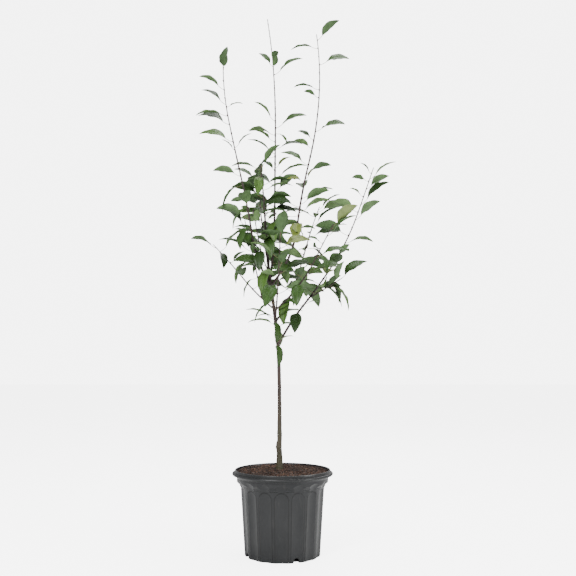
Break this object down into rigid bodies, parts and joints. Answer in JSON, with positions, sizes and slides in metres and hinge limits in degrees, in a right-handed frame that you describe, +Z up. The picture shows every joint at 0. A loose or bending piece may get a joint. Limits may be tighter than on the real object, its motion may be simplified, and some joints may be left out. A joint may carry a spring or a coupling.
{
  "type": "potted lambert cherry tree",
  "caption": "Young cherry tree in a fluted nursery pot: slim bare trunk, upright open crown of long shoots with arching pointed leaves.",
  "frame": {"origin": "centre of the pot's flat underside, on the ground", "axes": "+Z up along the pot and trunk, +X to the right seen from the front, -Y towards the viewer"},
  "size_m": [0.6239, 0.5401, 1.6159],
  "materials": {
    "pot_plastic": "satin charcoal black moulded plastic",
    "soil": "coarse moist bark compost",
    "trunk_bark": "dark brown bark with pale pores, olive low down",
    "shoot_bark": "smooth reddish brown young bark with a grey bloom",
    "leaf": "semi-matte mid green leaf, paler below"
  },
  "bodies": {
    "root": {"bough_back_left": "shoot_bark", "bough_back_low": "shoot_bark", "bough_centre_tall": "shoot_bark", "bough_front_low": "shoot_bark", "bough_leader": "shoot_bark", "bough_left_inner": "shoot_bark", "bough_left_mid": "shoot_bark", "bough_left_tall": "shoot_bark", "bough_low_left": "shoot_bark", "bough_low_right": "shoot_bark", "bough_low_right_side": "shoot_bark", "bough_right_inner": "shoot_bark", "bough_right_tall": "shoot_bark", "bough_right_upper": "shoot_bark", "leaves_back_left": "leaf", "leaves_back_low": "leaf", "leaves_centre_tall": "leaf", "leaves_front_low": "leaf", "leaves_leader": "leaf", "leaves_left_inner": "leaf", "leaves_left_mid": "leaf", "leaves_left_tall": "leaf", "leaves_low_left": "leaf", "leaves_low_right": "leaf", "leaves_low_right_side": "leaf", "leaves_right_inner": "leaf", "leaves_right_tall": "leaf", "leaves_right_upper": "leaf", "leaves_spur_back": "leaf", "leaves_spur_low": "leaf", "leaves_spur_mid": "leaf", "pot": "pot_plastic", "soil": "soil", "trunk": "trunk_bark"}
  },
  "joints": []
}
